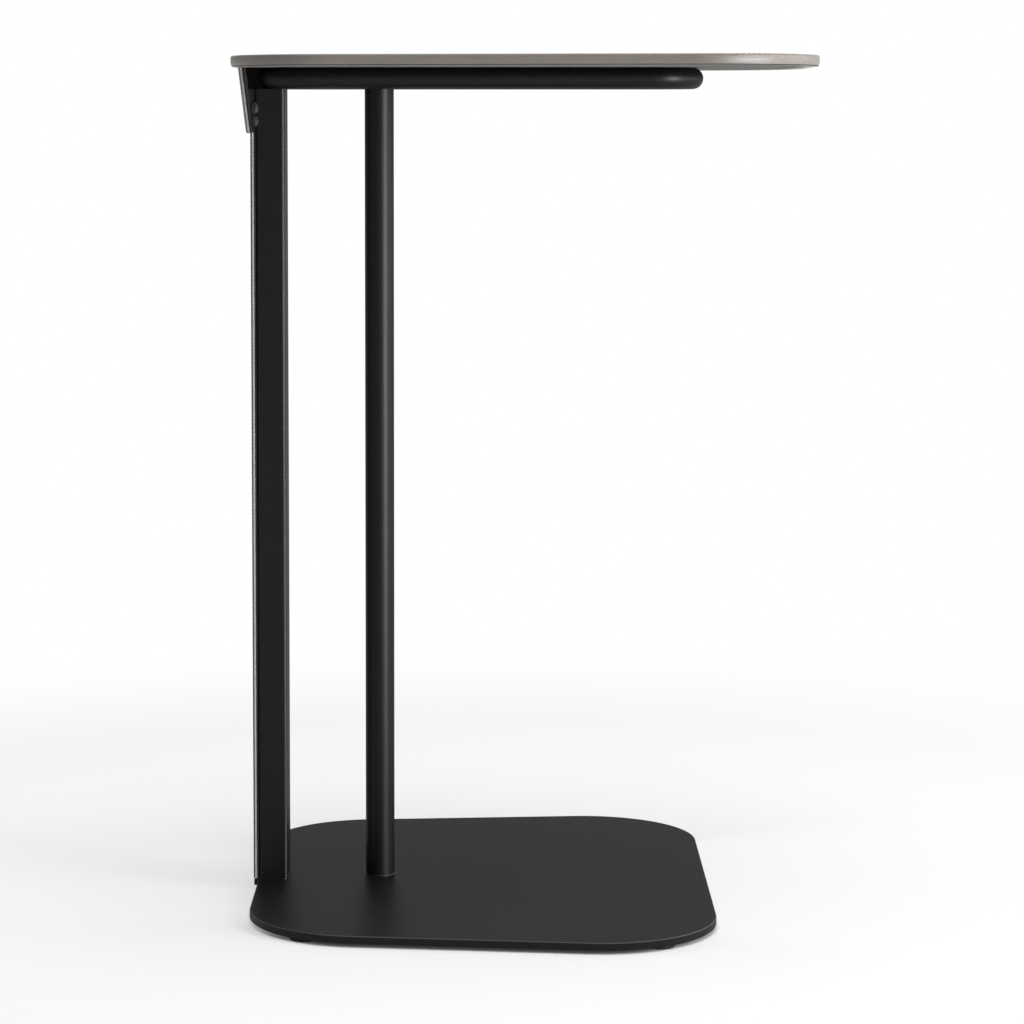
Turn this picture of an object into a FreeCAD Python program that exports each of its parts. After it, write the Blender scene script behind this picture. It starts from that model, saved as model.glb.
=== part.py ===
import FreeCAD, Part
import math
import os
import re

import Sketcher

# Side table: a flat plate on the floor, two uprights at its rear, and a leather-covered top
# that reaches forward over the plate. Millimetres, +Z up. X runs from the rear of the table
# to its front, and the origin is on the floor under the middle of the top.

SIZES = {
    # The whole table
    "table_height": 633.0,
    "rear_setback": 16.0,
    # Top: a board wrapped in leather, wider at the front
    "top_length": 433.0,
    "top_rear_width": 241.0,
    "top_front_width": 317.0,
    "top_rear_corner": 82.0,
    "top_front_corner": 90.0,
    "top_thickness": 8.0,
    "top_edge_round": 1.2,
    "cover_thickness": 1.0,
    "backing_margin": 12.0,
    "backing_clearance": 0.1,
    # Base plate: the same form, wider at the front
    "base_length": 342.0,
    "base_rear_width": 375.0,
    "base_front_width": 440.0,
    "base_rear_corner": 85.5,
    "base_front_corner": 87.0,
    "base_thickness": 6.0,
    "base_edge_round": 0.8,
    # Feet under the base plate
    "pad_height": 2.5,
    "pad_diameter": 20.0,
    "pad_edge_round": 0.5,
    "pad_inset": 1.5,
    "pad_angle": 55.0,
    # Rectangular upright
    "bar_width": 22.0,
    "bar_depth": 40.0,
    "bar_wall": 2.0,
    "bar_corner": 2.5,
    "bar_cap_thickness": 3.0,
    # Round upright
    "rod_diameter": 22.0,
    "rod_wall": 2.0,
    "rod_setback": 92.3,
    # Threaded blocks in the feet of the uprights
    "collar_thickness": 0.8,
    "collar_overhang": 0.3,
    "rod_plug_length": 22.0,
    "bar_block_length": 18.0,
    "plug_fit": 0.05,
    # Tube loop under the top
    "loop_tube": 16.0,
    "loop_wall": 1.5,
    "loop_length": 336.0,
    "loop_spacing": 60.0,
    # Plates welded between the legs of the loop
    "cross_thickness": 5.0,
    "cross_tuck": 3.0,
    "cross_width": 24.0,
    "rod_plate_width": 34.0,
    "rear_plate_setback": 54.0,
    "front_plate_inset": 58.0,
    # Screws that hold the top, and their inserts
    "top_screw": 4.0,
    "top_screw_length": 9.0,
    "top_screw_head": 8.0,
    "top_screw_head_height": 2.4,
    "top_screw_head_bevel": 0.8,
    "top_screw_key": 2.5,
    "top_screw_key_depth": 1.4,
    "top_screw_spacing": 22.0,
    "insert_diameter": 7.0,
    "insert_length": 5.0,
    # Countersunk screws under the base plate
    "rod_screw": 8.0,
    "rod_screw_head": 16.0,
    "rod_screw_length": 24.0,
    "rod_screw_key": 5.0,
    "rod_screw_key_depth": 2.6,
    "bar_screw": 6.0,
    "bar_screw_head": 11.6,
    "bar_screw_length": 20.0,
    "bar_screw_key": 4.0,
    "bar_screw_key_depth": 2.0,
    "bar_screw_spacing": 20.0,
    "screw_clearance": 0.4,
    # Leather strip down the rear of the rectangular upright
    "strip_leather": 3.0,
    "strip_backing": 0.8,
    "strip_edge_round": 0.8,
    "backing_overlap": 5.0,
    # Wedge and leather tab between that strip and the top
    "wedge_height": 48.0,
    "wedge_top_depth": 9.8,
    "wedge_reach": 6.0,
    "saddle_clearance": 0.1,
    "tab_thickness": 3.0,
    "tab_lap": 1.0,
    "tab_lap_clearance": 0.2,
    "tab_end_round": 1.2,
    # Weld beads in the groove between the wedge and the rectangular upright
    "bead_height": 9.2,
    "bead_pitch": 9.6,
    "bead_width": 5.4,
    "bead_swell": 1.3,
    "bead_drop": 30.2,
}

doc = FreeCAD.newDocument("side_table")
sheet = doc.addObject("Spreadsheet::Sheet", "sizes")
for row, (alias, value) in enumerate(SIZES.items(), start=1):
    sheet.set(f"A{row}", alias)
    sheet.set(f"B{row}", str(value))
    sheet.setAlias(f"B{row}", alias)
doc.recompute()

# Places that several pieces share, as rules in the names above
REAR = "(rear_setback - top_length / 2)"
ROD_X = f"({REAR} + rod_setback)"
BAR_X = f"({REAR} + bar_width / 2)"
PLATE_TOP = "(pad_height + base_thickness)"
TUBE_FOOT = f"({PLATE_TOP} + collar_thickness)"
UNDERSIDE = "(table_height - top_thickness)"
LOOP_FOOT = f"({UNDERSIDE} - loop_tube)"
CROSS_FOOT = f"({UNDERSIDE} - cross_thickness)"
WEDGE_FOOT = f"({UNDERSIDE} - wedge_height)"
STRIP_DEPTH = "(strip_leather + strip_backing)"
REAR_PLATE_X = f"({REAR} + rear_plate_setback)"
FRONT_PLATE_X = f"({REAR} + loop_length - front_plate_inset)"
TOP_SCREWS = [
    (x, f"{side} * top_screw_spacing / 2")
    for x in (REAR_PLATE_X, FRONT_PLATE_X)
    for side in (-1, 1)
]

# Outlines of the top and the base plate: rear end, length, rear width, front width
TOP = ("(-top_length / 2)", "top_length", "top_rear_width", "top_front_width")
BASE = (REAR, "base_length", "base_rear_width", "base_front_width")

# The two sides of the table, and their signs along Y
SIDES = {"near": -1, "far": 1}

KEY_SIDES = 6
BEADS_EACH_SIDE = 2
NEAR = 0.001
WORD = re.compile(r"[a-z_]+")
PARTS = {}


def rule(text):
    """Turns the size names in a rule into references to the sheet's cells."""
    return WORD.sub(lambda word: f"sizes.{word.group()}" if word.group() in SIZES else word.group(), text)


def bind(item, **rules):
    """Binds properties of an object to rules."""
    for name, text in rules.items():
        item.setExpression(name, rule(text))
    return item


def place(item, x="0", y="0", z="0"):
    """Binds the position of an object to rules."""
    for axis, text in (("x", x), ("y", y), ("z", z)):
        item.setExpression(f"Placement.Base.{axis}", rule(text))
    return item


def keep(name, item):
    """Gives a finished piece its name."""
    item.Label = name
    PARTS[name] = item
    return item


def new_body(name):
    return doc.addObject("PartDesign::Body", name)


def new_sketch(body, name, plane="XY_Plane", height="0"):
    """Makes a sketch on one of the body's own planes, raised by a rule."""
    sketch = body.newObject("Sketcher::SketchObject", name)
    origin = [item for item in body.Origin.OriginFeatures if item.Role == plane]
    sketch.AttachmentSupport = (origin[0], "")
    sketch.MapMode = "FlatFace"
    sketch.setExpression("AttachmentOffset.Base.z", rule(height))
    return sketch


def add_polygon(sketch, points):
    """Adds a closed polygon whose corners are pairs of rules, right and up in the sketch."""
    first = sketch.GeometryCount
    count = len(points)
    turns = [2 * math.pi * step / count for step in range(count)]
    start = [FreeCAD.Vector(math.cos(turn), math.sin(turn), 0) for turn in turns]
    for step in range(count):
        sketch.addGeometry(Part.LineSegment(start[step], start[(step + 1) % count]))
    for step in range(count):
        following = first + (step + 1) % count
        sketch.addConstraint(Sketcher.Constraint("Coincident", first + step, 2, following, 1))
    for step, (right, up) in enumerate(points):
        for kind, text, value in (("DistanceX", right, start[step].x), ("DistanceY", up, start[step].y)):
            number = sketch.addConstraint(Sketcher.Constraint(kind, first + step, 1, value))
            sketch.setExpression(f"Constraints[{number}]", rule(text))


def add_circle(sketch, x, y, diameter):
    """Adds a circle whose centre and diameter are rules."""
    number = sketch.addGeometry(Part.Circle(FreeCAD.Vector(0, 0, 0), FreeCAD.Vector(0, 0, 1), 1))
    for kind, text in (("DistanceX", x), ("DistanceY", y)):
        bound = sketch.addConstraint(Sketcher.Constraint(kind, number, 3, 0))
        sketch.setExpression(f"Constraints[{bound}]", rule(text))
    bound = sketch.addConstraint(Sketcher.Constraint("Diameter", number, 2))
    sketch.setExpression(f"Constraints[{bound}]", rule(diameter))


def pad(body, sketch, length, name, midplane=False):
    feature = body.newObject("PartDesign::Pad", name)
    feature.Profile = sketch
    feature.Midplane = midplane
    return bind(feature, Length=length)


def pocket(body, sketch, name, depth=None):
    """Cuts a sketch upwards into the body: right through, or to a depth. It must remove something."""
    doc.recompute()
    before = body.Tip.Shape.Volume
    feature = body.newObject("PartDesign::Pocket", name)
    feature.Profile = sketch
    feature.Reversed = True
    if depth is None:
        feature.Type = "ThroughAll"
    else:
        bind(feature, Length=depth)
    doc.recompute()
    if feature.Shape.Volume >= before:
        raise ValueError(f"{name} removes nothing")
    return feature


def edge_names(shape, wanted):
    """Names of the edges of a shape that a test picks."""
    return [f"Edge{number}" for number, edge in enumerate(shape.Edges, start=1) if wanted(edge)]


def is_upright(edge):
    limits = edge.BoundBox
    return max(limits.XLength, limits.YLength) < NEAR < limits.ZLength


def lies_at(height):
    """Test for edges that lie flat at a height."""
    return lambda edge: max(abs(edge.BoundBox.ZMin - height), abs(edge.BoundBox.ZMax - height)) < NEAR


def round_edges(body, radius, wanted, name):
    """Rounds the edges of the body's last feature that a test picks."""
    doc.recompute()
    base = body.Tip
    feature = body.newObject("PartDesign::Fillet", name)
    feature.Base = (base, edge_names(base.Shape, wanted))
    return bind(feature, Radius=radius)


def is_upright_near_end(shape, sign):
    """Test for upright edges at the front end (sign 1) or the rear end (sign -1) of a shape."""
    limit = shape.BoundBox.XMax if sign > 0 else shape.BoundBox.XMin
    return lambda edge: is_upright(edge) and abs(edge.BoundBox.XMin - limit) < NEAR


# Forms that several pieces share

def outline(rear, length, rear_width, front_width, inset="0"):
    """Corners of a symmetric outline that widens to the front, drawn in by an inset."""
    slope = f"(({front_width} - {rear_width}) / 2 / {length})"
    draw_in = f"({inset} * sqrt(1 + {slope} * {slope}))"
    rear_half = f"({rear_width} / 2 + {slope} * {inset} - {draw_in})"
    front_half = f"({front_width} / 2 - {slope} * {inset} - {draw_in})"
    rear_x = f"({rear} + {inset})"
    front_x = f"({rear} + {length} - {inset})"
    return [
        (rear_x, f"-{rear_half}"),
        (front_x, f"-{front_half}"),
        (front_x, front_half),
        (rear_x, rear_half),
    ]


def panel(name, corners, thickness, rear_corner, front_corner, height):
    """A flat panel with rounded corners, standing at a height."""
    body = place(new_body(name), z=height)
    sketch = new_sketch(body, f"{name}_outline")
    add_polygon(sketch, corners)
    pad(body, sketch, thickness, f"{name}_sheet")
    doc.recompute()
    round_edges(body, rear_corner, is_upright_near_end(body.Tip.Shape, -1), f"{name}_rear_corners")
    doc.recompute()
    round_edges(body, front_corner, is_upright_near_end(body.Tip.Shape, 1), f"{name}_front_corners")
    doc.recompute()
    return body


def round_rims(body, radius, name):
    """Rounds the upper and lower rims of a panel that rests on its body's own plane."""
    limits = body.Tip.Shape.BoundBox
    tests = [lies_at(height) for height in (limits.ZMin, limits.ZMax)]
    return round_edges(body, radius, lambda edge: any(test(edge) for test in tests), name)


def turned(name, points, x="0", y="0", z="0"):
    """A piece turned about its own upright axis from half of its section."""
    body = place(new_body(name), x, y, z)
    sketch = new_sketch(body, f"{name}_section", "XZ_Plane")
    add_polygon(sketch, points)
    feature = body.newObject("PartDesign::Revolution", f"{name}_turning")
    feature.Profile = sketch
    feature.ReferenceAxis = (sketch, ["V_Axis"])
    feature.Angle = 360
    doc.recompute()
    return body


def key_socket(body, name, across, depth, height="0"):
    """A hexagonal key socket, sunk upwards from a height on the body's own axis."""
    sketch = new_sketch(body, f"{name}_hexagon", height=height)
    reach = f"({across} / 2 / cos(180 / {KEY_SIDES}))"
    corners = []
    for step in range(KEY_SIDES):
        turn = f"({step} * 360 / {KEY_SIDES})"
        corners.append((f"cos({turn}) * {reach}", f"sin({turn}) * {reach}"))
    add_polygon(sketch, corners)
    pocket(body, sketch, f"{name}_socket", depth)


def group(name, items):
    """Several like solids in one node."""
    compound = doc.addObject("Part::Compound", name)
    compound.Links = items
    return keep(name, compound)


def cut(name, base, tool):
    feature = doc.addObject("Part::Cut", name)
    feature.Base = base
    feature.Tool = tool
    return feature


def fuse(name, items):
    feature = doc.addObject("Part::MultiFuse", name)
    feature.Shapes = items
    feature.Refine = True
    return feature


def box(name, width, depth, height, x, y, z):
    """A block centred on x and y that stands at z."""
    feature = bind(doc.addObject("Part::Box", name), Length=width, Width=depth, Height=height)
    return place(feature, f"{x} - ({width}) / 2", f"{y} - ({depth}) / 2", z)


def cylinder(name, diameter, height, x, y, z):
    feature = bind(doc.addObject("Part::Cylinder", name), Radius=f"({diameter}) / 2", Height=height)
    return place(feature, x, y, z)


def countersunk_screw(name, size, x, y):
    """A countersunk screw that stands head down, flush with the underside of the base plate."""
    section = [
        ("0", "0"),
        (f"{size}_head / 2", "0"),
        (f"{size} / 2", f"({size}_head - {size}) / 2"),
        (f"{size} / 2", f"{size}_length"),
        ("0", f"{size}_length"),
    ]
    body = turned(name, section, x, y, "pad_height")
    key_socket(body, name, f"{size}_key", f"{size}_key_depth")
    return body


# The top: board, leather cover, backing sheet

def make_top():
    cover_outer = panel(
        "cover_outer",
        outline(*TOP),
        "top_thickness",
        "top_rear_corner",
        "top_front_corner",
        UNDERSIDE,
    )
    round_rims(cover_outer, "top_edge_round", "cover_rims")

    board = panel(
        "tabletop_board",
        outline(*TOP, "cover_thickness"),
        "top_thickness - 2 * cover_thickness",
        "top_rear_corner - cover_thickness",
        "top_front_corner - cover_thickness",
        f"{UNDERSIDE} + cover_thickness",
    )
    round_rims(board, "top_edge_round - cover_thickness", "board_rims")
    blank = cut("cover_blank", cover_outer, board)

    margin = "(backing_margin + backing_clearance)"
    backing = panel(
        "backing_sheet",
        outline(*TOP, margin),
        "cover_thickness",
        f"top_rear_corner - {margin}",
        f"top_front_corner - {margin}",
        UNDERSIDE,
    )
    recess = panel(
        "backing_recess",
        outline(*TOP, "backing_margin"),
        "cover_thickness",
        "top_rear_corner - backing_margin",
        "top_front_corner - backing_margin",
        UNDERSIDE,
    )
    keep("tabletop_cover", cut("cover_shell", blank, recess))

    hole = "top_screw + screw_clearance"
    board_foot = f"{UNDERSIDE} + cover_thickness"
    holes = []
    bores = []
    for number, (x, y) in enumerate(TOP_SCREWS):
        holes.append(cylinder(f"backing_hole_{number}", hole, "cover_thickness", x, y, UNDERSIDE))
        bores.append(cylinder(f"board_bore_{number}", "insert_diameter", "insert_length", x, y, board_foot))
    keep("tabletop_backing", cut("backing_drilled", backing, fuse("backing_holes", holes)))
    keep("tabletop_core", cut("board_drilled", board, fuse("board_bores", bores)))


def make_top_fixings():
    insert_section = [
        ("top_screw / 2", "0"),
        ("insert_diameter / 2", "0"),
        ("insert_diameter / 2", "insert_length"),
        ("top_screw / 2", "insert_length"),
    ]
    screw_section = [
        ("0", "-top_screw_head_height"),
        ("top_screw_head / 2 - top_screw_head_bevel", "-top_screw_head_height"),
        ("top_screw_head / 2", "top_screw_head_bevel - top_screw_head_height"),
        ("top_screw_head / 2", "0"),
        ("top_screw / 2", "0"),
        ("top_screw / 2", "top_screw_length"),
        ("0", "top_screw_length"),
    ]
    head_foot = "-top_screw_head_height"
    inserts = []
    screws = []
    for number, (x, y) in enumerate(TOP_SCREWS):
        inserts.append(turned(f"insert_{number}", insert_section, x, y, f"{UNDERSIDE} + cover_thickness"))
        name = f"top_screw_{number}"
        screw = turned(name, screw_section, x, y, CROSS_FOOT)
        key_socket(screw, name, "top_screw_key", "top_screw_key_depth", head_foot)
        screws.append(screw)
    group("tabletop_inserts", inserts)
    group("tabletop_screws", screws)


# The tube loop and the plates between its legs

def loop_ring(name, tube):
    """A closed racetrack of round section, with its rear end at the rear line."""
    bend = "(loop_spacing / 2)"
    straight = "(loop_length - loop_tube - loop_spacing)"
    height = f"({UNDERSIDE} - loop_tube / 2)"
    rear_x = f"({REAR} + loop_tube / 2 + {bend})"
    items = []
    for number, (x, turn) in enumerate(((rear_x, 90), (f"{rear_x} + {straight}", -90))):
        bow = doc.addObject("Part::Torus", f"{name}_bend_{number}")
        bind(bow, Radius1=bend, Radius2=f"({tube}) / 2")
        bow.Angle3 = 180
        bow.Placement = FreeCAD.Placement(FreeCAD.Vector(0, 0, 0), FreeCAD.Rotation(turn, 0, 0))
        items.append(place(bow, x, "0", height))
    items += [loop_leg(f"{name}_leg_{side}", tube, straight, rear_x, side) for side in SIDES]
    return fuse(name, items)


def loop_leg(name, diameter, length, rear_x, side):
    """A straight round length in the line of one leg of the loop."""
    leg = doc.addObject("Part::Cylinder", name)
    bind(leg, Radius=f"({diameter}) / 2", Height=length)
    leg.Placement = FreeCAD.Placement(FreeCAD.Vector(0, 0, 0), FreeCAD.Rotation(0, 90, 0))
    return place(leg, rear_x, f"{SIDES[side]} * loop_spacing / 2", f"{UNDERSIDE} - loop_tube / 2")


def cross_plate(name, width, x, screws):
    """A flat plate between the legs of the loop, flush with their crowns."""
    span = "loop_spacing - 2 * cross_tuck"
    blank = box(f"{name}_blank", width, span, "cross_thickness", x, "0", CROSS_FOOT)
    rear_x = f"{x} - ({width}) / 2"
    tools = [loop_leg(f"{name}_leg_{side}", "loop_tube", width, rear_x, side) for side in SIDES]
    hole = "top_screw + screw_clearance"
    for number, (hole_x, hole_y) in enumerate(screws):
        name_of_hole = f"{name}_hole_{number}"
        tools.append(cylinder(name_of_hole, hole, "cross_thickness", hole_x, hole_y, CROSS_FOOT))
    return keep(name, cut(f"{name}_cut", blank, fuse(f"{name}_tools", tools)))


def make_loop():
    outer = loop_ring("loop_outer", "loop_tube")
    inner = loop_ring("loop_inner", "loop_tube - 2 * loop_wall")
    keep("frame_loop", cut("loop_tube_ring", outer, inner))
    cross_plate("rear_cross_plate", "cross_width", REAR_PLATE_X, TOP_SCREWS[:2])
    cross_plate("rod_cross_plate", "rod_plate_width", ROD_X, [])
    cross_plate("front_cross_plate", "cross_width", FRONT_PLATE_X, TOP_SCREWS[2:])


# The uprights

def rectangle(width, depth):
    return [
        (f"-({width}) / 2", f"-({depth}) / 2"),
        (f"({width}) / 2", f"-({depth}) / 2"),
        (f"({width}) / 2", f"({depth}) / 2"),
        (f"-({width}) / 2", f"({depth}) / 2"),
    ]


def corner_edges(shape):
    """Test for the upright edges at the outer corners of a shape."""
    limits = shape.BoundBox

    def wanted(edge):
        middle = edge.BoundBox.Center
        at_x = min(abs(middle.x - limits.XMin), abs(middle.x - limits.XMax)) < NEAR
        at_y = min(abs(middle.y - limits.YMin), abs(middle.y - limits.YMax)) < NEAR
        return is_upright(edge) and at_x and at_y

    return wanted


def make_bar():
    bar = place(new_body("bar"), BAR_X, "0", TUBE_FOOT)
    sketch = new_sketch(bar, "bar_section")
    add_polygon(sketch, rectangle("bar_width", "bar_depth"))
    add_polygon(sketch, rectangle("bar_width - 2 * bar_wall", "bar_depth - 2 * bar_wall"))
    pad(bar, sketch, f"{LOOP_FOOT} - {TUBE_FOOT}", "bar_tube")
    doc.recompute()
    round_edges(bar, "bar_corner", corner_edges(bar.Tip.Shape), "bar_corners")
    keep("upright_bar", bar)

    inner_width = "bar_width - 2 * bar_wall - 2 * plug_fit"
    inner_depth = "bar_depth - 2 * bar_wall - 2 * plug_fit"
    cap = place(new_body("cap"), BAR_X, "0", f"{LOOP_FOOT} - bar_cap_thickness")
    sketch = new_sketch(cap, "cap_outline")
    add_polygon(sketch, rectangle(inner_width, inner_depth))
    pad(cap, sketch, "bar_cap_thickness", "cap_plate")
    keep("bar_cap", cap)

    block = place(new_body("block"), BAR_X, "0", PLATE_TOP)
    sketch = new_sketch(block, "block_collar_outline")
    add_polygon(sketch, rectangle("bar_width", "bar_depth"))
    pad(block, sketch, "collar_thickness", "block_collar")
    doc.recompute()
    round_edges(block, "bar_corner", corner_edges(block.Tip.Shape), "block_collar_corners")
    sketch = new_sketch(block, "block_outline")
    add_polygon(sketch, rectangle(inner_width, inner_depth))
    pad(block, sketch, "collar_thickness + bar_block_length", "block_body")
    doc.recompute()
    sketch = new_sketch(block, "block_threads")
    for side in SIDES.values():
        add_circle(sketch, "0", f"{side} * bar_screw_spacing / 2", "bar_screw")
    pocket(block, sketch, "block_bores")
    keep("bar_foot_block", block)


def make_rod():
    rod = place(new_body("rod"), ROD_X, "0", TUBE_FOOT)
    sketch = new_sketch(rod, "rod_section")
    add_circle(sketch, "0", "0", "rod_diameter")
    add_circle(sketch, "0", "0", "rod_diameter - 2 * rod_wall")
    pad(rod, sketch, f"{CROSS_FOOT} - {TUBE_FOOT}", "rod_tube")
    keep("upright_rod", rod)

    collar = "rod_diameter / 2 + collar_overhang"
    inside = "rod_diameter / 2 - rod_wall - plug_fit"
    section = [
        ("rod_screw / 2", "0"),
        (collar, "0"),
        (collar, "collar_thickness / 2"),
        ("rod_diameter / 2", "collar_thickness"),
        (inside, "collar_thickness"),
        (inside, "collar_thickness + rod_plug_length"),
        ("rod_screw / 2", "collar_thickness + rod_plug_length"),
    ]
    keep("rod_foot_plug", turned("plug", section, ROD_X, "0", PLATE_TOP))


# The base plate, its screws and its feet

def make_base():
    plate = panel(
        "plate", outline(*BASE), "base_thickness", "base_rear_corner", "base_front_corner", "pad_height"
    )
    round_rims(plate, "base_edge_round", "plate_rims")
    doc.recompute()
    sketch = new_sketch(plate, "screw_holes")
    for side in SIDES.values():
        add_circle(sketch, BAR_X, f"{side} * bar_screw_spacing / 2", "bar_screw + screw_clearance")
    add_circle(sketch, ROD_X, "0", "rod_screw + screw_clearance")
    pocket(plate, sketch, "screw_holes_through")
    for screw in ("bar_screw", "rod_screw"):
        countersink(plate, screw)
    keep("base_plate", plate)


def countersink(body, screw):
    """Bevels the lower rims of one kind of screw's holes, so that its head sits flush."""
    base = body.Tip
    foot = base.Shape.BoundBox.ZMin
    diameter = sheet.get(screw) + sheet.get("screw_clearance")

    def wanted(edge):
        round_rim = isinstance(edge.Curve, Part.Circle) and abs(edge.Curve.Radius * 2 - diameter) < NEAR
        return round_rim and lies_at(foot)(edge)

    feature = body.newObject("PartDesign::Chamfer", f"{screw}_countersinks")
    feature.Base = (base, edge_names(base.Shape, wanted))
    bind(feature, Size=f"({screw}_head - ({screw} + screw_clearance)) / 2")
    doc.recompute()


def make_base_fixings():
    screws = [
        countersunk_screw(f"bar_screw_{side}", "bar_screw", BAR_X, f"{sign} * bar_screw_spacing / 2")
        for side, sign in SIDES.items()
    ]
    group("bar_screws", screws)
    keep("rod_foot_screw", countersunk_screw("rod_foot_screw", "rod_screw", ROD_X, "0"))


def make_pads():
    """Four round pads, each near the rim of one rounded corner of the base plate."""
    slope = "((base_front_width - base_rear_width) / 2 / base_length)"
    lean = f"sqrt(1 + {slope} * {slope})"
    ends = (
        (REAR, 1, "base_rear_width", "base_rear_corner"),
        (f"({REAR} + base_length)", -1, "base_front_width", "base_front_corner"),
    )
    section = [
        ("0", "0"),
        ("pad_diameter / 2 - pad_edge_round", "0"),
        ("pad_diameter / 2", "pad_edge_round"),
        ("pad_diameter / 2", "pad_height"),
        ("0", "pad_height"),
    ]
    pads = []
    for end, inward, width, corner in ends:
        arc_x = f"({end} + {inward} * {corner})"
        arc_y = f"({width} / 2 + {inward} * {slope} * {corner} - {corner} * {lean})"
        reach = f"({corner} - pad_inset - pad_diameter / 2)"
        x = f"{arc_x} - {inward} * {reach} * cos(pad_angle)"
        y = f"({arc_y} + {reach} * sin(pad_angle))"
        for side in SIDES.values():
            pads.append(turned(f"pad_{len(pads)}", section, x, f"{side} * {y}"))
    group("foot_pads", pads)


# The leather at the rear

def upright_slab(name, points, width):
    """A piece with one side section all along Y, centred on the middle of the table."""
    body = new_body(name)
    sketch = new_sketch(body, f"{name}_section", "XZ_Plane")
    add_polygon(sketch, points)
    pad(body, sketch, width, f"{name}_slab", midplane=True)
    doc.recompute()
    return body


def make_strip():
    strip = upright_slab(
        "strip",
        [
            (f"{REAR} - {STRIP_DEPTH}", PLATE_TOP),
            (f"{REAR} - strip_backing", PLATE_TOP),
            (f"{REAR} - strip_backing", WEDGE_FOOT),
            (f"{REAR} - {STRIP_DEPTH}", WEDGE_FOOT),
        ],
        "bar_depth",
    )
    rear_face = strip.Tip.Shape.BoundBox.XMin
    round_edges(
        strip,
        "strip_edge_round",
        lambda edge: is_upright(edge) and abs(edge.BoundBox.XMin - rear_face) < NEAR,
        "strip_edges",
    )
    keep("leather_strip", strip)

    backing_foot = f"{PLATE_TOP} - backing_overlap"
    backing = upright_slab(
        "strip_back",
        [
            (f"{REAR} - strip_backing", backing_foot),
            (REAR, backing_foot),
            (REAR, WEDGE_FOOT),
            (f"{REAR} - strip_backing", WEDGE_FOOT),
        ],
        "bar_depth",
    )
    keep("strip_backing_tape", backing)


def make_tab():
    """The wedge, whose head reaches over the bar and is cut out round the loop, and the tab."""
    low_depth = f"({STRIP_DEPTH} + tab_lap_clearance)"
    wedge = upright_slab(
        "wedge",
        [
            (REAR, WEDGE_FOOT),
            (REAR, LOOP_FOOT),
            (f"{REAR} + wedge_reach", LOOP_FOOT),
            (f"{REAR} + wedge_reach", UNDERSIDE),
            (f"{REAR} - wedge_top_depth", UNDERSIDE),
            (f"{REAR} - {low_depth}", WEDGE_FOOT),
        ],
        "bar_depth",
    )
    saddle = loop_ring("wedge_saddle", "loop_tube + 2 * saddle_clearance")
    keep("tab_wedge", cut("wedge_on_loop", wedge, saddle))

    lean = f"((wedge_top_depth - {low_depth}) / wedge_height)"
    foot_x = f"({REAR} - {low_depth} + {lean} * tab_lap)"
    foot_z = f"{WEDGE_FOOT} - tab_lap"
    tab = upright_slab(
        "tab",
        [
            (foot_x, foot_z),
            (f"{REAR} - wedge_top_depth", UNDERSIDE),
            (f"{REAR} - wedge_top_depth - tab_thickness", UNDERSIDE),
            (f"{foot_x} - tab_thickness", foot_z),
        ],
        "bar_depth",
    )
    round_edges(tab, "tab_end_round", lies_at(tab.Tip.Shape.BoundBox.ZMin), "tab_end")
    keep("leather_tab", tab)


def make_beads():
    """Weld beads over the joint between the wedge and the rectangular upright."""
    beads = []
    for sign in SIDES.values():
        outward = FreeCAD.Rotation(90 - sign * 90, 0, 0)
        for number in range(BEADS_EACH_SIDE):
            bead = doc.addObject("Part::Ellipsoid", f"bead_{len(beads)}")
            bind(bead, Radius1="bead_height / 2", Radius2="bead_width / 2", Radius3="bead_swell")
            bead.Angle3 = 180
            bead.Placement = FreeCAD.Placement(FreeCAD.Vector(0, 0, 0), outward)
            height = f"{UNDERSIDE} - bead_drop - {number} * bead_pitch"
            beads.append(place(bead, REAR, f"{sign} * bar_depth / 2", height))
    group("corner_weld_beads", beads)


make_top()
make_top_fixings()
make_loop()
make_bar()
make_rod()
make_base()
make_base_fixings()
make_pads()
make_strip()
make_tab()
make_beads()
doc.recompute()

# Check and export

failed = [item.Label for item in doc.Objects if {"Invalid", "Error"} & set(item.State)]
if failed:
    raise ValueError(f"failed objects: {failed}")
for name, item in PARTS.items():
    if item.Shape.isNull() or not item.Shape.isValid():
        raise ValueError(f"{name} has no valid shape")

os.makedirs("parts", exist_ok=True)
for name, item in PARTS.items():
    item.Shape.exportStep(os.path.join("parts", f"{name}.step"))
    print(f"{name}: {len(item.Shape.Solids)} solids, {item.Shape.Volume:.1f} mm3")
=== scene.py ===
"""Side table: its leather, thread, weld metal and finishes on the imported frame, in a plain studio."""
import math

import bmesh
import bpy
from bpy.props import FloatProperty, FloatVectorProperty, PointerProperty
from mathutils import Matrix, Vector, noise


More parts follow.
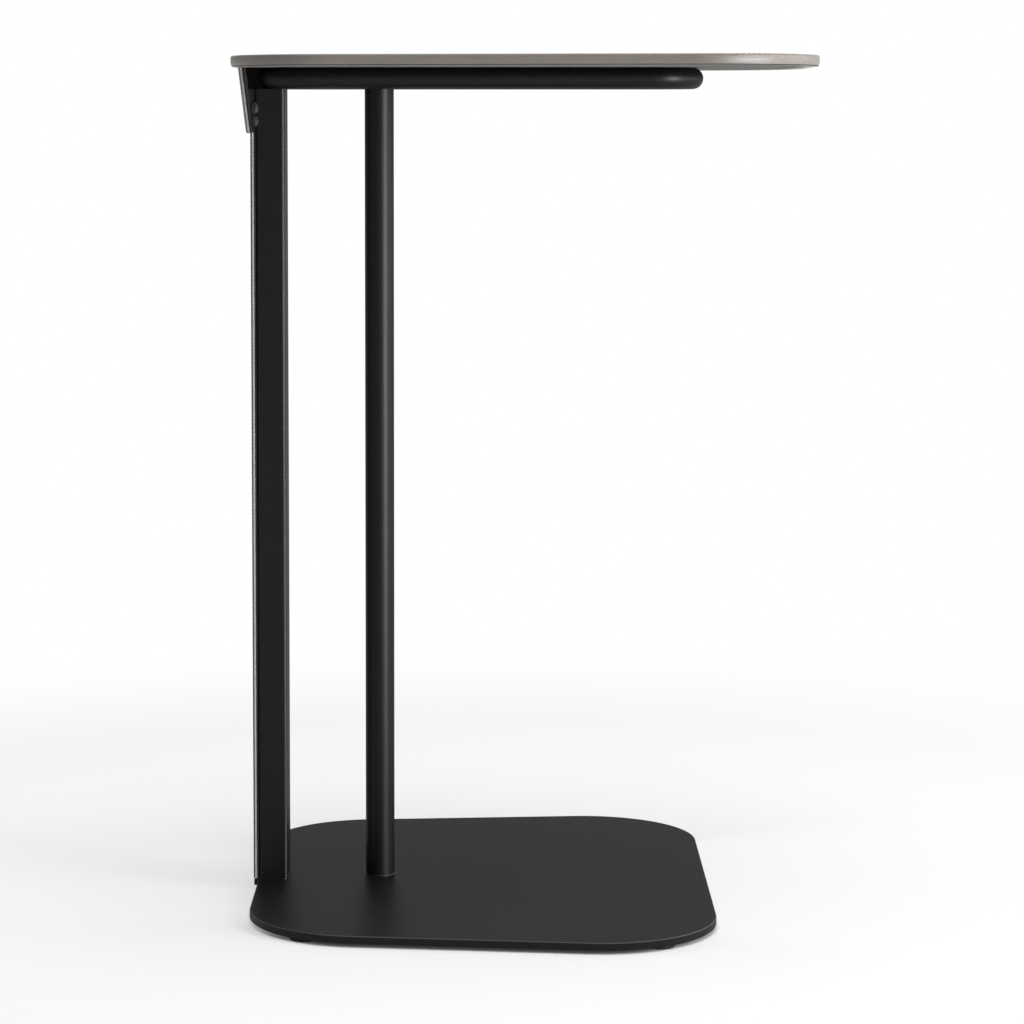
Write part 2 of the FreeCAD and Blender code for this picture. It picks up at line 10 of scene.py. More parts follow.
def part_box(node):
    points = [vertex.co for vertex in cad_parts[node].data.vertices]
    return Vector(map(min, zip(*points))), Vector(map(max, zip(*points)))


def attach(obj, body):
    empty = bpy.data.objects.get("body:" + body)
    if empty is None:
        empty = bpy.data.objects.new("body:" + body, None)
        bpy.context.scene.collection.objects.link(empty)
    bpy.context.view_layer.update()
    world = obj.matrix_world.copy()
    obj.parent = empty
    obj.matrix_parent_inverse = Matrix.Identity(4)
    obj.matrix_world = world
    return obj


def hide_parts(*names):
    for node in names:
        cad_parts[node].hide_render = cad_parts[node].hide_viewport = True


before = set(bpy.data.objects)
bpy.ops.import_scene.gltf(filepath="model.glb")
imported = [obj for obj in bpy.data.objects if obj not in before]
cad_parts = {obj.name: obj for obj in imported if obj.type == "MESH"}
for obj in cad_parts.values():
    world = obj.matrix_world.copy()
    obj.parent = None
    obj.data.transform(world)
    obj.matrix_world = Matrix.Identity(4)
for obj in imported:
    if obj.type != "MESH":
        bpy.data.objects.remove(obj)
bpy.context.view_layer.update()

bl_info = {
    "name": "Side Table",
    "version": (1, 0, 0),
    "blender": (4, 5, 0),
    "location": "3D View > Sidebar > Side Table",
    "description": "Leather, thread, weld metal and finishes of a side table, and its studio",
    "category": "Object",
}

MM = 0.001
BODY = "root"
SIDES = (-1, 1)

# Outline of the top, in metres
TOP_REAR_WIDTH = 0.241
TOP_FRONT_WIDTH = 0.317
TOP_REAR_CORNER = 0.082
TOP_FRONT_CORNER = 0.090

# Outline of the base plate: the radius of its corners and how much half of it widens along X
PLATE_CORNER = 85 * MM
PLATE_TAPER = 0.095

# The tab's leather, the gap between tab and strip, and the steps of a rounded end
TAB_THICKNESS = 3.0 * MM
TAB_GAP = 0.2 * MM
END_STEPS = (0.0, 0.05, 0.2, 0.45, 0.75)

# Half the width of a seam's groove, and the steps across it
TOP_GROOVE = 0.6 * MM
STRIP_GROOVE = 0.5 * MM
SEAM_STEPS = (1.0, 0.5, 0.0, -0.5, -1.0)

# Material slots of a strip of leather, after its face
RAW = 1
ROUNDED_DARKER = 2

# Height of half a weld bead, and how far it swells
BEAD_HALF_HEIGHT = 4.6 * MM
BEAD_SWELL = 1.3 * MM

# The photograph's camera, a little tilted, turned and shifted
CAMERA_PLACE = (-0.022634, -2.473441, 0.587)
CAMERA_TILT = 0.0888
CAMERA_TURN = 0.0191
CAMERA_SHIFT = (0.08, -0.10)

# Colours that nobody is likely to change
ZINC = (0.42, 0.42, 0.43)
BRASS = (0.60, 0.45, 0.18)
BLACKENED = (0.06, 0.06, 0.062)
LINING = (0.215, 0.214, 0.205)
BOARD = (0.45, 0.34, 0.22)
RUBBER = (0.015, 0.015, 0.015)
TAPE = (0.02, 0.019, 0.018)
FILLER = (0.016, 0.016, 0.016)
GREY_BAND = (0.045, 0.043, 0.041)
# A near-black filler that paints the shade under the top
PAINTED_SHADE_FILLER = (0.0015, 0.0015, 0.0015)
WHITE = (1, 1, 1, 1)

# Where a colour mix has its two colours and its result
MIX_COLOURS = (6, 7)
MIX_RESULT = 2


# Sizes and colours that a user would change

def length_of(label, description, millimetres):
    """A length in the sidebar."""
    return FloatProperty(
        name=label, description=description, default=millimetres * MM, unit="LENGTH", precision=5
    )


def colour_of(label, description, colour):
    """A colour in the sidebar."""
    return FloatVectorProperty(
        name=label, description=description, default=colour, subtype="COLOR", min=0, max=1
    )


def power_of(label, description, watts):
    """The power of a lamp in the sidebar."""
    return FloatProperty(name=label, description=description, default=watts, unit="POWER")


class TableSizes(bpy.types.PropertyGroup):
    """Sizes of the leather, its seams and its threads"""

    edge_round: length_of("Edge Round", "Rounding of the top's rims", 1.3)
    cover_thickness: length_of("Cover Leather", "Thickness of the top's leather", 1.0)
    cover_margin: length_of("Cover Margin", "How far the leather wraps under the top", 12)
    seam_inset: length_of("Seam Inset", "From a rim or edge of leather to its seam", 3.6)
    seam_depth: length_of("Seam Depth", "How deep the thread pulls the leather in", 0.3)
    thread: length_of("Thread", "Diameter of the sewing thread", 0.7)
    top_stitch: length_of("Top Stitch", "Stitch length round the top", 4.2)
    strip_stitch: length_of("Strip Stitch", "Stitch length down the strip", 3.1)
    tab_stitch: length_of("Tab Stitch", "Stitch length on the tab", 3.8)
    strip_edge: length_of("Strip Edge", "Rounding of the strip's edges", 1.2)


class TableColours(bpy.types.PropertyGroup):
    """Colours of the leather and the steel"""

    leather: colour_of("Leather", "Face of the leather", (0.236, 0.208, 0.186))
    raw_edge: colour_of("Raw Edge", "Cut edge of the leather", (0.62, 0.575, 0.535))
    thread: colour_of("Thread", "Sewing thread", (0.03, 0.027, 0.025))
    coat: colour_of("Powder Coat", "Coat on the steel", (0.005, 0.005, 0.0053))


class StudioSettings(bpy.types.PropertyGroup):
    """Camera, lamps and floor"""

    lens: FloatProperty(name="Lens", description="Focal length in millimetres", default=114.93, unit="CAMERA")
    key_power: power_of("Key Lamp", "Power of the tall soft box", 9)
    glint_power: power_of("Glint", "Power of the soft box in gloss", 62)
    side_power: power_of("Side Lamp", "Power of the side panel", 32)
    top_power: power_of("Top Lamp", "Power of the panel overhead", 76)
    ambient: FloatProperty(name="Ambient", description="Soft light from all round", default=0.35, min=0)
    floor: colour_of("Floor", "Colour of the studio floor", (0.86, 0.86, 0.86))


def chosen(context):
    """The sizes and the colours of the sidebar."""
    return context.scene.side_table_sizes, context.scene.side_table_colours


# Node materials

def new_finish(name):
    """An empty node material, its tree, and the place on the object in metres."""
    finish = bpy.data.materials.new(name)
    finish.use_nodes = True
    tree = finish.node_tree
    tree.nodes.clear()
    return finish, tree, add_node(tree, "ShaderNodeTexCoord").outputs["Object"]


def add_node(tree, kind, inputs=None, **settings):
    """A node with its settings. An input that is a socket is linked, any other value is set."""
    node = tree.nodes.new(kind)
    for name, value in settings.items():
        setattr(node, name, value)
    for name, value in (inputs or {}).items():
        if isinstance(value, bpy.types.NodeSocket):
            tree.links.new(value, node.inputs[name])
        else:
            node.inputs[name].default_value = value
    return node


def stretched(tree, point, scale):
    """The place, stretched by one scale along each axis."""
    mapping = add_node(tree, "ShaderNodeMapping", {"Vector": point, "Scale": scale})
    return mapping.outputs["Vector"]


def cloudy(tree, point, scale, detail=2.0, roughness=0.5, distortion=0.0):
    """A soft random pattern from 0 to 1."""
    inputs = {"Vector": point, "Scale": scale, "Detail": detail, "Roughness": roughness}
    return add_node(tree, "ShaderNodeTexNoise", inputs | {"Distortion": distortion}).outputs["Fac"]


def spread(tree, value, low_in, high_in, low, high, smooth=False):
    """The value moved from one range to another, and held at its ends."""
    limits = {"Value": value, "From Min": low_in, "From Max": high_in, "To Min": low, "To Max": high}
    kind = "SMOOTHSTEP" if smooth else "LINEAR"
    return add_node(tree, "ShaderNodeMapRange", limits, interpolation_type=kind).outputs["Result"]


def ranged(tree, pattern, low, high):
    """A cloudy pattern, which lies mostly from 0.3 to 0.7, moved to another range."""
    return spread(tree, pattern, 0.3, 0.7, low, high)


def combine(tree, kind, first, second):
    """Two values put together by one kind of sum."""
    node = add_node(tree, "ShaderNodeMath", operation=kind)
    for socket, value in zip(node.inputs, (first, second)):
        if isinstance(value, bpy.types.NodeSocket):
            tree.links.new(value, socket)
        else:
            socket.default_value = value
    return node.outputs["Value"]


def added(tree, first, second):
    """The sum of two values."""
    return combine(tree, "ADD", first, second)


def times(tree, first, second):
    """The product of two values."""
    return combine(tree, "MULTIPLY", first, second)


def minus(tree, first, second):
    """The first value less the second."""
    return combine(tree, "SUBTRACT", first, second)


def larger(tree, first, second):
    """The larger of two values."""
    return combine(tree, "MAXIMUM", first, second)


def unsigned(tree, value):
    """The value without its sign."""
    return combine(tree, "ABSOLUTE", value, 0.0)


def between(tree, factor, dark, light):
    """A colour between two colours."""
    node = add_node(tree, "ShaderNodeMix", data_type="RGBA")
    tree.links.new(factor, node.inputs["Factor"])
    for index, value in zip(MIX_COLOURS, (dark, light)):
        if isinstance(value, bpy.types.NodeSocket):
            tree.links.new(value, node.inputs[index])
        else:
            node.inputs[index].default_value = (*value, 1.0)
    return node.outputs[MIX_RESULT]


def shade(colour, amount):
    """The colour made lighter or darker by one factor."""
    return tuple(min(1.0, channel * amount) for channel in colour)


def mottled(tree, pattern, colour, darkest, lightest):
    """A colour that a cloudy pattern makes darker and lighter."""
    return between(tree, ranged(tree, pattern, 0.0, 1.0), shade(colour, darkest), shade(colour, lightest))


def bumped(tree, height, depth, strength):
    """A bumpy surface whose height pattern is that deep, in metres."""
    inputs = {"Height": height, "Distance": depth, "Strength": strength}
    return add_node(tree, "ShaderNodeBump", inputs).outputs["Normal"]


def surface(finish, **inputs):
    """Ends the material with one Principled shader."""
    tree = finish.node_tree
    named = {name.replace("_", " "): value for name, value in inputs.items()}
    shader = add_node(tree, "ShaderNodeBsdfPrincipled", named)
    add_node(tree, "ShaderNodeOutputMaterial", {"Surface": shader.outputs["BSDF"]})
    return finish


def mix_shaders(tree, factor, first, second, output):
    """Ends the tree with a shader that the factor turns into another."""
    mix = add_node(tree, "ShaderNodeMixShader", {0: factor, 1: first, 2: second})
    add_node(tree, output, {"Surface": mix.outputs["Shader"]})


def length_from_origin(tree, point):
    """How far a place is from the origin."""
    return add_node(tree, "ShaderNodeVectorMath", {0: point}, operation="LENGTH").outputs["Value"]


def place_of(tree, point):
    """The three coordinates of a place."""
    return add_node(tree, "ShaderNodeSeparateXYZ", {"Vector": point}).outputs


def leather_finish(name, colour, grain=0.9):
    """Fine-grained smooth leather: soft pebbles, pores, level streaks, faint mottling and a low sheen."""
    finish, tree, point = new_finish(name)
    drift = add_node(tree, "ShaderNodeTexNoise", {"Vector": point, "Scale": 700.0, "Detail": 2.0})
    shift = {0: drift.outputs["Color"], "Scale": 0.0006}
    shifted = add_node(tree, "ShaderNodeVectorMath", shift, operation="SCALE").outputs["Vector"]
    moved = add_node(tree, "ShaderNodeVectorMath", {0: point, 1: shifted}, operation="ADD").outputs["Vector"]
    cells = {"Vector": moved, "Scale": 1000.0 / grain, "Smoothness": 0.35}
    pebble = add_node(tree, "ShaderNodeTexVoronoi", cells, feature="SMOOTH_F1").outputs["Distance"]
    pores = cloudy(tree, point, 5200.0, 2.0)
    hide = cloudy(tree, point, 26.0, 4.0, 0.55, 0.4)
    mottle = cloudy(tree, point, 340.0, 3.0, 0.6)
    streaks = cloudy(tree, stretched(tree, point, (30.0, 30.0, 1300.0)), 1.0, 3.0, 0.6)
    cloud = added(tree, times(tree, hide, 0.4), times(tree, mottle, 0.3))
    tone = added(tree, cloud, times(tree, streaks, 0.3))
    base = mottled(tree, tone, colour, 0.90, 1.09)
    creased = between(tree, spread(tree, pebble, 0.25, 0.75, 0.0, 0.32), base, shade(colour, 0.62))
    grains = added(tree, times(tree, pebble, -1.0), times(tree, pores, 0.35))
    height = added(tree, grains, streaks)
    return surface(
        finish,
        Base_Color=creased,
        Roughness=spread(tree, added(tree, streaks, pores), 0.7, 1.3, 0.34, 0.54),
        Specular_IOR_Level=0.5,
        Sheen_Weight=0.06,
        Sheen_Roughness=0.45,
        Normal=bumped(tree, height, 0.00012, 0.75),
    )


def raw_edge_finish(name, colour):
    """Cut edge of leather: pale, fibrous, with darker specks."""
    finish, tree, point = new_finish(name)
    fibres = cloudy(tree, stretched(tree, point, (2.2, 1.0, 1.0)), 1500.0, 4.0, 0.65)
    specks = cloudy(tree, point, 3600.0, 1.0)
    tone = mottled(tree, fibres, colour, 0.66, 1.12)
    flecked = between(tree, spread(tree, specks, 0.58, 0.72, 0.0, 0.6), tone, shade(colour, 0.4))
    return surface(
        finish,
        Base_Color=flecked,
        Roughness=ranged(tree, fibres, 0.78, 0.95),
        Specular_IOR_Level=0.15,
        Normal=bumped(tree, added(tree, fibres, specks), 0.00025, 0.9),
    )


def thread_finish(name, colour):
    """Waxed thread with the twist of its strands."""
    finish, tree, point = new_finish(name)
    strands = {"Vector": point, "Scale": 620.0, "Distortion": 1.2, "Detail": 1.0}
    twist = add_node(tree, "ShaderNodeTexWave", strands, bands_direction="DIAGONAL").outputs["Fac"]
    fuzz = cloudy(tree, point, 6000.0, 2.0)
    tone = between(tree, times(tree, twist, fuzz), shade(colour, 0.6), shade(colour, 1.7))
    return surface(
        finish,
        Base_Color=tone,
        Roughness=ranged(tree, fuzz, 0.55, 0.75),
        Specular_IOR_Level=0.3,
        Normal=bumped(tree, twist, 0.0001, 0.8),
    )


def painted_highlight_on_rim(tree, point):
    """Where a highlight is painted: the upper edge of the base plate's rim."""
    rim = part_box("base_plate")[1].z
    level = place_of(tree, point)["Z"]
    above = spread(tree, level, rim - 0.8 * MM, rim - 0.5 * MM, 0.0, 1.0)
    below = spread(tree, level, rim - 0.08 * MM, rim - 0.02 * MM, 1.0, 0.0)
    return times(tree, above, below)


def painted_highlights_on_corners(tree, point):
    """Where highlights are painted: the two long front corners of the flat upright."""
    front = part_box("upright_bar")[1]
    place = place_of(tree, point)
    forward = spread(tree, place["X"], front.x - 1.1 * MM, front.x - 0.8 * MM, 0.0, 1.0)
    sideways = unsigned(tree, place["Y"])
    outward = spread(tree, sideways, front.y - 1.1 * MM, front.y - 0.8 * MM, 0.0, 1.0)
    return times(tree, forward, outward)


def powder_coat_finish(name, colour, grain_depth=0.00005, highlight_where=None, highlight_shade=9.0):
    """Satin black powder coat: orange peel, faint clouds, fine grain, and painted highlight lines on some
    edges.
    """
    finish, tree, point = new_finish(name)
    peel = cloudy(tree, point, 900.0, 2.0, 0.55)
    grain = cloudy(tree, point, 3800.0, 1.0)
    cloud = cloudy(tree, point, 60.0, 3.0, 0.6)
    mixed = spread(tree, added(tree, cloud, grain), 0.7, 1.3, 0.0, 1.0)
    tone = between(tree, mixed, shade(colour, 0.8), shade(colour, 1.25))
    # Painted highlight: a much lighter coat colour where the mask asks, along an edge that catches the light
    if highlight_where is not None:
        tone = between(tree, highlight_where(tree, point), tone, shade(colour, highlight_shade))
    height = added(tree, peel, times(tree, grain, 0.5))
    normal = bumped(tree, height, grain_depth, 0.8)
    return surface(
        finish,
        Base_Color=tone,
        Roughness=ranged(tree, cloud, 0.5, 0.62),
        Specular_IOR_Level=0.0,
        Coat_Weight=0.35,
        Coat_Roughness=0.43,
        Coat_Normal=normal,
        Normal=normal,
    )


def plated_finish(name, colour):
    """Zinc-plated steel with fine turning marks."""
    finish, tree, point = new_finish(name)
    marks = cloudy(tree, stretched(tree, point, (1.0, 1.0, 7.0)), 900.0, 3.0, 0.6)
    cloud = cloudy(tree, point, 160.0, 3.0)
    return surface(
        finish,
        Base_Color=mottled(tree, cloud, colour, 0.8, 1.1),
        Metallic=1.0,
        Roughness=ranged(tree, marks, 0.28, 0.45),
        Normal=bumped(tree, marks, 0.00003, 0.6),
    )


def board_finish(name, colour):
    """Raw board: short fibres pressed flat."""
    finish, tree, point = new_finish(name)
    fibres = cloudy(tree, stretched(tree, point, (1.0, 3.0, 5.0)), 320.0, 5.0, 0.7)
    flattened = stretched(tree, point, (1.0, 2.0, 4.0))
    chips = add_node(tree, "ShaderNodeTexVoronoi", {"Vector": flattened, "Scale": 260.0})
    return surface(
        finish,
        Base_Color=mottled(tree, fibres, colour, 0.75, 1.15),
        Roughness=spread(tree, chips.outputs["Distance"], 0.0, 0.8, 0.7, 0.9),
        Normal=bumped(tree, fibres, 0.0001, 0.6),
    )


def matt_finish(name, colour, scale, depth, gloss=0.2, contrast=0.45):
    """Matt rubber, tape, filler or lining with a grain of that scale."""
    finish, tree, point = new_finish(name)
    grain = cloudy(tree, point, scale, 4.0, 0.65)
    fine = cloudy(tree, point, scale * 4, 2.0)
    return surface(
        finish,
        Base_Color=mottled(tree, grain, colour, 1 - contrast, 1 + contrast),
        Roughness=ranged(tree, fine, 0.7, 0.9),
        Specular_IOR_Level=gloss,
        Normal=bumped(tree, added(tree, grain, fine), depth, 0.9),
    )


# Mesh code that several pieces share

def link_mesh(name, mesh_code, finishes):
    """An object from mesh code, with its materials."""
    mesh = bpy.data.meshes.new(name)
    bmesh.ops.recalc_face_normals(mesh_code, faces=mesh_code.faces)
    mesh_code.to_mesh(mesh)
    mesh_code.free()
    for finish in finishes:
        mesh.materials.append(finish)
    thing = bpy.data.objects.new(name, mesh)
    bpy.context.scene.collection.objects.link(thing)
    return thing


def to_object(name, mesh_code, finishes, smooth=True):
    """A piece from mesh code, with its materials, on the table's one body."""
    bmesh.ops.remove_doubles(mesh_code, verts=mesh_code.verts, dist=1e-7)
    piece = link_mesh(name, mesh_code, finishes)
    if smooth:
        piece.data.shade_smooth()
    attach(piece, BODY)
    return piece


def steps_between(first, last, parts):
    """Values from the first to the last in equal steps."""
    return [first + (last - first) * part / parts for part in range(parts + 1)]


def turns_of(count):
    """The angles of that many equal steps round a circle."""
    return [2 * math.pi * step / count for step in range(count)]


def levels_of(low, high, tip, parts, both_ends):
    """Heights along a piece of leather, close together where an end is rounded."""
    length = high - low - (2 if both_ends else 1) * tip
    levels = [low + step * tip for step in END_STEPS]
    levels += [low + tip + length * part / parts for part in range(parts + 1)]
    if both_ends:
        levels += [high - step * tip for step in reversed(END_STEPS)]
    return levels


def ring_of(mesh_code, points):
    """The vertices of one ring or row."""
    return [mesh_code.verts.new(point) for point in points]


def join_rings(mesh_code, rings, slot_of=lambda band, place: 0):
    """Quads from each ring to the next, each in the material that its band and place ask for."""
    for band, (first, second) in enumerate(zip(rings, rings[1:])):
        quads = zip(first, first[1:] + first[:1], second[1:] + second[:1], second)
        for place, quad in enumerate(quads):
            mesh_code.faces.new(quad).material_index = slot_of(band, place)


def close_ends(mesh_code, rings, slot=0):
    """A face over the first ring and one over the last."""
    for ring in (rings[0], rings[-1]):
        mesh_code.faces.new(ring).material_index = slot


def top_outline(step):
    """Points round the top, each as (x, y, outward x, outward y, on a front corner)."""
    low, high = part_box("tabletop_cover")
    slope = math.atan2((TOP_FRONT_WIDTH - TOP_REAR_WIDTH) / 2, high.x - low.x)
    side_angle = 1.5 * math.pi - slope

    def centre_of(end, inward, radius):
        x = end + inward * radius
        y = (radius - math.sin(slope) * (x - low.x)) / math.cos(slope) - TOP_REAR_WIDTH / 2
        return x, y

    rear_x, rear_y = centre_of(low.x, 1, TOP_REAR_CORNER)
    front_x, front_y = centre_of(high.x, -1, TOP_FRONT_CORNER)
    corners = [
        (rear_x, rear_y, TOP_REAR_CORNER, math.pi, side_angle, False),
        (front_x, front_y, TOP_FRONT_CORNER, side_angle, 2 * math.pi, True),
        (front_x, -front_y, TOP_FRONT_CORNER, 0.0, math.pi / 2 + slope, True),
        (rear_x, -rear_y, TOP_REAR_CORNER, math.pi / 2 + slope, math.pi, False),
    ]
    points = []
    for x, y, radius, start, end, at_front in corners:
        parts = max(8, round(radius * abs(end - start) / step))
        for angle in steps_between(start, end, parts):
            out_x = math.cos(angle)
            out_y = math.sin(angle)
            points.append((x + radius * out_x, y + radius * out_y, out_x, out_y, at_front))
    filled = []
    for point, after in zip(points, points[1:] + points[:1]):
        gap = math.hypot(after[0] - point[0], after[1] - point[1])
        parts = max(1, round(gap / (step * 2)))
        filled.append(point)
        for part in range(1, parts):
            share = part / parts
            x = point[0] + (after[0] - point[0]) * share
            y = point[1] + (after[1] - point[1]) * share
            filled.append((x, y, point[2], point[3], False))
    return filled


def tab_lean():
    """How far the tab leans rearward over one metre of height."""
    low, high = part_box("tab_wedge")
    return (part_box("leather_strip")[0].x - TAB_GAP - low.x) / (high.z - low.z)


def leather_section(face, back, half_width, sizes, raw_from, raw_to, trim=0):
    """Outline across a strip of leather, each point as (x, y, material): round edges and two sunk seams."""
    edge = min(sizes.strip_edge, (back - face) / 2 - 0.02 * MM)
    side = half_width - edge
    turns = steps_between(0.0, math.pi / 2, 5)
    rim = [(back - edge + edge * math.cos(turn), side + edge * math.sin(turn)) for turn in turns]
    rim.append((max(face + edge, min(back - edge, raw_from)), half_width))
    rim += [(face + edge - edge * math.sin(turn), side + edge * math.cos(turn)) for turn in turns]
    half = [(x, y, RAW if raw_from <= x <= raw_to else trim) for x, y in rim]
    for share in (1.8, *SEAM_STEPS, -1.8):
        away = sizes.seam_inset - STRIP_GROOVE * share
        half.append((face + sizes.seam_depth * max(0.0, 1 - share * share), half_width - away, 0))
    half.append((face, 0.4 * half_width, 0))
    return half + [(face, 0.0, 0)] + [(x, -y, slot) for x, y, slot in reversed(half)]


def end_pinch(distance, reach):
    """How far a rounded end has drawn in at that distance from its tip."""
    share = max(0.0, 1 - distance / reach)
    return reach * (1 - math.sqrt(1 - share * share))


def loft_leather(mesh_code, sections, heights):
    """Skins outlines one above the other, each band in its material, and closes both ends in raw leather."""
    rings = []
    for section, height in zip(sections, heights):
        rings.append(ring_of(mesh_code, [(x, y, height) for x, y, _ in section]))

    def slot_of(band, place):
        section = sections[band]
        return min(section[place][2], section[(place + 1) % len(section)][2])

    join_rings(mesh_code, rings, slot_of)
    close_ends(mesh_code, rings, RAW)


def fill_grid(mesh_code, rows, slot_of):
    """Quads over a grid of vertices, each with the material that its middle asks for."""
    for first, second in zip(rows, rows[1:]):
        for quad in zip(first, first[1:], second[1:], second):
            mesh_code.faces.new(quad).material_index = slot_of((quad[0].co + quad[2].co) / 2)


def border_of(rows):
    """The vertices round a grid."""
    ends = [row[-1] for row in rows[1:]]
    starts = [row[0] for row in rows[-2:0:-1]]
    return rows[0] + ends + rows[-1][-2::-1] + starts


def join_grids(mesh_code, first, second, slot=0):
    """Walls between the borders of two grids of the same size."""
    join_rings(mesh_code, [border_of(first), border_of(second)], lambda band, place: slot)


def add_stitch(mesh_code, start, end, outward, radius, rise):
    """One stitch: a short round thread that comes out of the leather, lies on it and goes back in."""
    across = (end - start).normalized().cross(outward).normalized()
    rings = []
    for share in steps_between(0.0, 1.0, 7):
        away = abs(2 * share - 1)
        lift = rise - (rise + radius * 1.6) * away**4
        thick = radius * (1.0 - 0.25 * away**3)
        middle = start.lerp(end, share) + outward * lift
        points = []
        for angle in turns_of(8):
            points.append(middle + across * (thick * math.cos(angle)) + outward * (thick * math.sin(angle)))
        rings.append(ring_of(mesh_code, points))
    join_rings(mesh_code, rings)
    close_ends(mesh_code, rings)


# Pieces

class SIDE_TABLE_OT_finishes(bpy.types.Operator):
    """Gives the frame's own nodes their node materials"""

    bl_idname = "side_table.finishes"
    bl_label = "Frame Finishes"

    def execute(self, context):
        coat = tuple(context.scene.side_table_colours.coat)
        under_top = ("frame_loop", "rear_cross_plate", "rod_cross_plate", "front_cross_plate")
        # Painted light: the plate's coat is 1.5 times lighter than the same coat elsewhere, to brighten its
        # top
        plate_coat_lightened = powder_coat_finish("plate_powder_coat", shade(coat, 1.5), highlight_where=painted_highlight_on_rim)
        # Painted highlights: the flat upright's front corners get a coat colour 28 times lighter
        bar_coat = powder_coat_finish("bar_powder_coat", coat, highlight_where=painted_highlights_on_corners, highlight_shade=28.0)
        given = {
            powder_coat_finish("black_powder_coat", coat): (*under_top, "bar_cap", "upright_rod"),
            plate_coat_lightened: ("base_plate",),
            bar_coat: ("upright_bar",),
            plated_finish("blackened_steel", BLACKENED): ("bar_foot_block", "rod_foot_plug"),
            plated_finish("zinc_plated", ZINC): ("bar_screws", "rod_foot_screw", "tabletop_screws"),
            plated_finish("insert_brass", BRASS): ("tabletop_inserts",),
            matt_finish("grey_lining", LINING, 700.0, 0.0001, 0.0, 0.12): ("tabletop_backing",),
            board_finish("pressed_board", BOARD): ("tabletop_core",),
            matt_finish("pad_rubber", RUBBER, 900.0, 0.00008): ("foot_pads",),
        }
        for finish, nodes in given.items():
            for name in nodes:
                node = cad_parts[name]
                if not node.material_slots:
                    raise RuntimeError(f"{name} has no material slot")
                for slot in node.material_slots:
                    slot.material = finish
        return {"FINISHED"}


class SIDE_TABLE_OT_top_leather(bpy.types.Operator):
    """Wraps the leather over the top, with the sunk line of its seam"""

    bl_idname = "side_table.top_leather"
    bl_label = "Top Leather"

    def execute(self, context):
        sizes, colours = chosen(context)
        low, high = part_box("tabletop_cover")
        outline = top_outline(1.6 * MM)
        section = self.section_of(sizes, low.z, high.z)
        mesh_code = bmesh.new()
        rings = []
        for away, height in section:
            points = [(x - out_x * away, y - out_y * away, height) for x, y, out_x, out_y, _ in outline]
            rings.append(ring_of(mesh_code, points))
        line_top = low.z + 0.61 * MM
        join_rings(mesh_code, rings, lambda band, place: int(low.z < section[band][1] < line_top))
        close_ends(mesh_code, rings)
        leather = leather_finish("taupe_leather", tuple(colours.leather))
        # Edge paint darkened further as painted shade of the groove at the rim's foot
        edge_line = raw_edge_finish("edge_paint_with_painted_groove_shade", shade(colours.leather, 0.25))
        piece = to_object("top_leather", mesh_code, [leather, edge_line])
        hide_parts("tabletop_cover")
        return {"FINISHED"}

    def section_of(self, sizes, low, high):
        """Points across the leather, from the seam round the rim to the wrap, as (distance in, height)."""
        rim = sizes.edge_round
        inset = sizes.seam_inset
        crown = 0.55 * MM
        widest = 0.68

        def bulge_at(share):
            return crown * ((share - widest) / widest) ** 2

        section = [(34 * MM, high), (12 * MM, high), (inset + TOP_GROOVE * 2.2, high)]
        for share in SEAM_STEPS:
            section.append((inset + TOP_GROOVE * share, high - sizes.seam_depth * (1 - share * share)))
        section.append((inset - TOP_GROOVE * 1.6, high))
        for angle in steps_between(0.0, math.pi / 2, 8):
            away = bulge_at(1.0) + rim - rim * math.sin(angle)
            section.append((away, high - rim + rim * math.cos(angle)))
        face_top = high - rim
        face_foot = low + 0.95 * MM
        for share in (0.85, 0.7, 0.5, 0.3, 0.15, 0.0):
            section.append((bulge_at(share), face_foot + (face_top - face_foot) * share))
        # The foot of the rim turns under; its faces get a dark leather, which stands for edge paint and for
        # painted shade in the groove, as a dark line
        for away, rise in ((0.06, 0.72), (0.2, 0.6), (0.42, 0.54), (0.46, 0.3), (0.5, 0.08), (0.62, 0.0)):
            section.append((crown + away * MM, low + rise * MM))
        inside = crown + sizes.cover_thickness
        inner_low = low + sizes.cover_thickness
        inner_high = high - sizes.cover_thickness
        return section + [
            (sizes.cover_margin, low),
            (sizes.cover_margin, inner_low),
            (inside + rim, inner_low),
            (inside, inner_low + rim),
            (inside, inner_high - rim),
            (inside + rim, inner_high),
        ]


class SIDE_TABLE_OT_top_stitches(bpy.types.Operator):
    """Sews the seam round the top, which stands proud on the front corners"""

    bl_idname = "side_table.top_stitches"
    bl_label = "Top Stitches"

    def execute(self, context):
        sizes, colours = chosen(context)
        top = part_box("tabletop_cover")[1].z
        inset = sizes.seam_inset
        line = []
        for x, y, out_x, out_y, at_front in top_outline(0.7 * MM):
            line.append((Vector((x - out_x * inset, y - out_y * inset, top)), at_front * out_x))
        line.append(line[0])
        reach = [0.0]
        for (first, _), (second, _) in zip(line, line[1:]):
            reach.append(reach[-1] + (second - first).length)
        count = round(reach[-1] / sizes.top_stitch)
        pitch = reach[-1] / count

        def place_at(distance):
            index = max(0, min(len(reach) - 2, sum(1 for mark in reach if mark <= distance) - 1))
            share = (distance - reach[index]) / max(1e-9, reach[index + 1] - reach[index])
            return line[index][0].lerp(line[index + 1][0], share), line[index][1]

        mesh_code = bmesh.new()
        radius = sizes.thread / 2
        upward = Vector((0, 0, 1))
        for number in range(count):
            start, turn = place_at(number * pitch + pitch * 0.12)
            end, _ = place_at(number * pitch + pitch * 0.88)
            proud = 0.22 < turn < 0.80
            add_stitch(mesh_code, start, end, upward, radius, -radius * (0.3 if proud else 0.95))
        thread = thread_finish("taupe_thread", shade(colours.leather, 0.7))
        piece = to_object("top_stitches", mesh_code, [thread])
        return {"FINISHED"}


